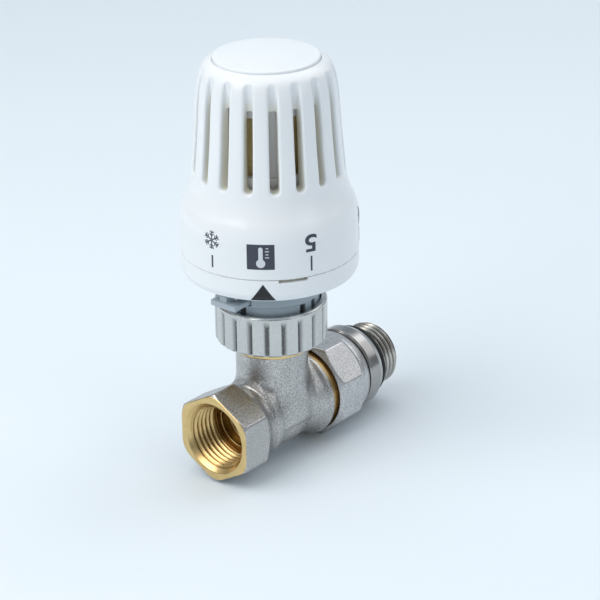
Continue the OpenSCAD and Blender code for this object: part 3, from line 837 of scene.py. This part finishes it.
# ---------------------------------------------------------------- print on the dial
def wrap_print(name, me_src, deg, z0, mat, body, slot, r0=None, t=0.06, scale=1.0, flip=False, lift=0.0):
    """Wraps a flat mesh (x across, y up, in mm) as a thin solid on the skirt. deg is where its centre lies."""
    bm = bmesh.new()
    bm.from_mesh(me_src)
    bmesh.ops.remove_doubles(bm, verts=bm.verts, dist=1e-4)
    s = -1.0 if flip else 1.0
    for v in bm.verts:
        v.co = Vector((v.co.x * scale * s, v.co.y * scale * s, 0))
    xs = [v.co.x for v in bm.verts]
    ys = [v.co.y for v in bm.verts]
    for k in np.arange(math.floor(min(xs)), math.ceil(max(xs)), 0.7):
        bmesh.ops.bisect_plane(bm, geom=bm.verts[:] + bm.edges[:] + bm.faces[:], plane_co=(k + 0.013, 0, 0), plane_no=(1, 0, 0))
    for k in np.arange(math.floor(min(ys)), math.ceil(max(ys)), 0.7):
        bmesh.ops.bisect_plane(bm, geom=bm.verts[:] + bm.edges[:] + bm.faces[:], plane_co=(0, k + 0.017, 0), plane_no=(0, 1, 0))
    bmesh.ops.recalc_face_normals(bm, faces=bm.faces)
    up = sum(f.normal.z for f in bm.faces)
    if up < 0:
        bmesh.ops.reverse_faces(bm, faces=bm.faces)
    top = bm.faces[:]
    ext = bmesh.ops.extrude_face_region(bm, geom=top)
    moved = [g for g in ext["geom"] if isinstance(g, bmesh.types.BMVert)]
    for v in moved:
        v.co.z = 1.0
    bmesh.ops.recalc_face_normals(bm, faces=bm.faces)
    for v in bm.verts:
        z = z0 + v.co.y
        base = (float(skin_r(z)) if r0 is None else r0) + lift
        r = base - 0.08 + (0.08 + t) * v.co.z
        a = math.radians(deg) + v.co.x / 27.0
        v.co = Vector(((AX + r * math.cos(a)) * 0.001, r * math.sin(a) * 0.001, z * 0.001))
    me = bpy.data.meshes.new(name)
    bm.to_mesh(me)
    bm.free()
    o = bpy.data.objects.new(name, me)
    bpy.context.scene.collection.objects.link(o)
    return place(o, body, slot, mat)


def flat(polys):
    """A flat mesh from outlines in mm."""
    bm = bmesh.new()
    for p in polys:
        bm.faces.new([bm.verts.new((x, y, 0)) for x, y in p])
    me = bpy.data.meshes.new("flat")
    bm.to_mesh(me)
    bm.free()
    return me


def bar(x0, y0, x1, y1, w):
    d = np.array([x1 - x0, y1 - y0], float)
    d /= np.hypot(*d)
    n = np.array([-d[1], d[0]]) * w / 2
    return [(x0 - n[0], y0 - n[1]), (x1 - n[0], y1 - n[1]), (x1 + n[0], y1 + n[1]), (x0 + n[0], y0 + n[1])]


def rounded(w, h, r, n=4):
    return [(float(p[0][0]), float(p[0][1])) for p in fillet([(-w / 2, -h / 2, r), (w / 2, -h / 2, r), (w / 2, h / 2, r), (-w / 2, h / 2, r)], n)]


def digit(ch, size):
    cu = bpy.data.curves.new("d", "FONT")
    cu.body = ch
    cu.size = size
    cu.align_x = "CENTER"
    cu.offset = 0.13
    ob = bpy.data.objects.new("d", cu)
    bpy.context.scene.collection.objects.link(ob)
    bpy.context.view_layer.update()
    me = bpy.data.meshes.new_from_object(ob.evaluated_get(bpy.context.evaluated_depsgraph_get()))
    bpy.data.objects.remove(ob)
    ys = [v.co.y for v in me.vertices]
    xs = [v.co.x for v in me.vertices]
    me.transform(Matrix.Diagonal((1.22, 1.0, 1.0, 1.0)) @ Matrix.Translation((-(min(xs) + max(xs)) / 2, -(min(ys) + max(ys)) / 2, 0)))
    return me


DIGITS = {"5": 247.2, "4": 305.5, "3": 4.0, "2": 62.5, "1": 121.0}
for ch, deg in DIGITS.items():
    wrap_print("vis_digit_" + ch, digit(ch, 7.4), deg, 65.4, ink.m, "handle", "head_white", flip=True)
    wrap_print("vis_tick_" + ch, flat([rounded(0.55, 4.7, 0.15)]), deg + 0.2, 59.0, ink.m, "handle", "head_white")
wrap_print("vis_tick_frost", flat([rounded(0.55, 3.9, 0.15)]), 182.0, 58.9, ink.m, "handle", "head_white")
arms = []
for k in range(6):
    a = math.radians(90 + 60 * k)
    c, s = math.cos(a), math.sin(a)
    arms.append(bar(0.12 * c, 0.12 * s, 2.8 * c, 2.8 * s, 0.36))
    for q in (1.35, 2.05):
        for sg in (-1, 1):
            b2 = a + sg * math.radians(55)
            arms.append(bar(q * c, q * s, q * c + 0.95 * math.cos(b2), q * s + 0.95 * math.sin(b2), 0.3))
for i, p in enumerate(arms):
    wrap_print("vis_frost_%02d" % i, flat([p]), 181.7, 65.6, ink.m, "handle", "head_white", lift=0.002 * (i % 3))
# dark square with a plain thermometer in it
wrap_print("vis_square", flat([rounded(8.2, 7.9, 0.25)]), 214.9, 62.3, ink.m, "handle", "head_white", t=0.05)
wrap_print("vis_square_stem", flat([rounded(1.3, 4.6, 0.6)]), 214.9, 63.1, pale_ink.m, "handle", "head_white", t=0.09)
wrap_print("vis_square_bulb", flat([[(1.35 * math.cos(t), 1.35 * math.sin(t)) for t in np.linspace(0, 2 * math.pi, 24, endpoint=False)]]), 214.9, 60.3, pale_ink.m, "handle", "head_white", t=0.088)
for i in range(4):
    wrap_print("vis_square_mark_%d" % i, flat([rounded(1.2 if i % 2 == 0 else 0.8, 0.28, 0.1)]), 214.9 + 4.0, 62.2 + 0.95 * i, pale_ink.m, "handle", "head_white", t=0.09)


# pointer on the base ring, over its curved flank
def pointer():
    zz = np.array([45.2, 47.4, 48.1, 49.8, 54.4])
    rr = np.array([20.2, 25.0, 26.3, 27.0, 27.0])
    n = 14
    V, top, bot = [], [], []
    for i in range(n + 1):
        t = i / n
        z = 53.6 - t * 5.3
        R = float(np.interp(z, zz, rr))
        half = 3.75 * t
        rowt, rowb = [], []
        for k in range(9):
            a = math.radians(216.0) + (k / 8 * 2 - 1) * max(half, 0.02) / R
            for lst, off in ((rowt, 0.055), (rowb, -0.08)):
                lst.append(len(V))
                V.append((AX + (R + off) * math.cos(a), (R + off) * math.sin(a), z - (0.03 if off > 0 and z < 49.8 else 0)))
        top.append(rowt)
        bot.append(rowb)
    q = []
    for i in range(n):
        for k in range(8):
            q.append((top[i][k], top[i + 1][k], top[i + 1][k + 1], top[i][k + 1]))
            q.append((bot[i][k], bot[i][k + 1], bot[i + 1][k + 1], bot[i + 1][k]))
    for i in range(n):
        q.append((top[i][0], bot[i][0], bot[i + 1][0], top[i + 1][0]))
        q.append((top[i][8], top[i + 1][8], bot[i + 1][8], bot[i][8]))
    for k in range(8):
        q.append((top[0][k], top[0][k + 1], bot[0][k + 1], bot[0][k]))
        q.append((top[n][k], bot[n][k], bot[n][k + 1], top[n][k + 1]))
    return build("vis_pointer", V, [np.array(q)])


o = pointer()
o.data.shade_flat()
place(o, "valve", "head_white", black_ink.m)

# ---------------------------------------------------------------- stage, lights, camera
def sweep():
    """Floor and backdrop in one curved sheet."""
    z0 = CAD_BOX[0].z
    P = [(-1.2, z0), (0.75, z0)]
    for k in range(1, 25):
        t = k / 24 * math.pi / 2
        P.append((0.75 + 0.5 * math.sin(t), z0 + 0.5 - 0.5 * math.cos(t)))
    P.append((1.25, z0 + 1.6))
    d = Vector((-math.sin(math.radians(-50)), math.cos(math.radians(-50)), 0))
    s = Vector((math.cos(math.radians(-50)), math.sin(math.radians(-50)), 0))
    bm = bmesh.new()
    rows = [[bm.verts.new(Vector((0.028, 0, 0)) + d * a + s * w + Vector((0, 0, z))) for w in (-1.6, 1.6)] for a, z in P]
    for i in range(len(rows) - 1):
        bm.faces.new([rows[i][0], rows[i][1], rows[i + 1][1], rows[i + 1][0]])
    me = bpy.data.meshes.new("stage_sweep")
    bm.to_mesh(me)
    bm.free()
    for p in me.polygons:
        p.use_smooth = True
    o = bpy.data.objects.new("stage_sweep", me)
    bpy.context.scene.collection.objects.link(o)
    m = Mat("mat_stage")
    m.color(m.mix(m.map(m.noise(3, 2), 0.3, 0.7, 0, 1), (0.79, 0.86, 0.91), (0.785, 0.855, 0.908)))
    m.b.inputs["Roughness"].default_value = 0.9
    m.b.inputs["Specular IOR Level"].default_value = 0.1
    me.materials.append(m.m)


sweep()


def area(name, loc, target, size, power, color=(1, 1, 1), shape="RECTANGLE", size_y=None):
    L = bpy.data.lights.new(name, "AREA")
    L.energy = power
    L.color = color
    L.shape = shape
    L.size = size
    L.size_y = size_y or size
    o = bpy.data.objects.new(name, L)
    o.location = loc
    o.rotation_mode = "QUATERNION"
    o.rotation_quaternion = (Vector(target) - Vector(loc)).to_track_quat("-Z", "Y")
    bpy.context.scene.collection.objects.link(o)
    return o


azr = math.radians(-50)
toward = Vector((math.sin(azr), -math.cos(azr), 0))
side = Vector((math.cos(azr), math.sin(azr), 0))
mid = Vector((0.03, 0, 0.05))
area("key", mid - side * 0.55 + toward * 0.35 + Vector((0, 0, 0.6)), mid, 0.8, 4.7, (1.0, 0.99, 0.97), size_y=0.7)
area("fill", mid + side * 0.6 + toward * 0.45 + Vector((0, 0, 0.35)), mid, 0.35, 0.6, (0.94, 0.97, 1.0), size_y=0.5)
area("rim", mid + Vector((0.72, -0.28, 0.62)), mid, 0.8, 1.9, (0.97, 0.985, 1.0))
area("top", mid + Vector((0, 0, 0.85)) - toward * 0.1, mid, 1.5, 5.6, (0.98, 0.99, 1.0))

w = bpy.data.worlds.new("world")
bpy.context.scene.world = w
w.use_nodes = True
bg = w.node_tree.nodes["Background"]
bg.inputs["Color"].default_value = (0.86, 0.92, 0.98, 1)
bg.inputs["Strength"].default_value = 0.3

cam_d = bpy.data.cameras.new("camera")
cam = bpy.data.objects.new("camera", cam_d)
bpy.context.scene.collection.objects.link(cam)
el, roll, ls, fpx, u0, v0 = math.radians(24.5), math.radians(-0.75), 3.2, 2300.0, 272.9, 406.0
back = Vector((math.sin(azr) * math.cos(el), -math.cos(azr) * math.cos(el), math.sin(el)))
right = Vector((math.cos(azr), math.sin(azr), 0))
up = back.cross(right)
rr_ = right * math.cos(roll) + up * math.sin(roll)
uu_ = -right * math.sin(roll) + up * math.cos(roll)
dist = fpx / ls
C = back * dist - rr_ * ((u0 - 300) / fpx * dist) + uu_ * ((v0 - 300) / fpx * dist)
cam.matrix_world = Matrix(((rr_.x, uu_.x, back.x, (C.x + 28) * 0.001), (rr_.y, uu_.y, back.y, C.y * 0.001), (rr_.z, uu_.z, back.z, C.z * 0.001), (0, 0, 0, 1)))
cam_d.lens = 36.0 * fpx / 600
cam_d.sensor_width = 36.0
cam_d.clip_start = 0.01
cam_d.clip_end = 20
bpy.context.scene.camera = cam
bpy.context.scene.view_settings.view_transform = "Standard"
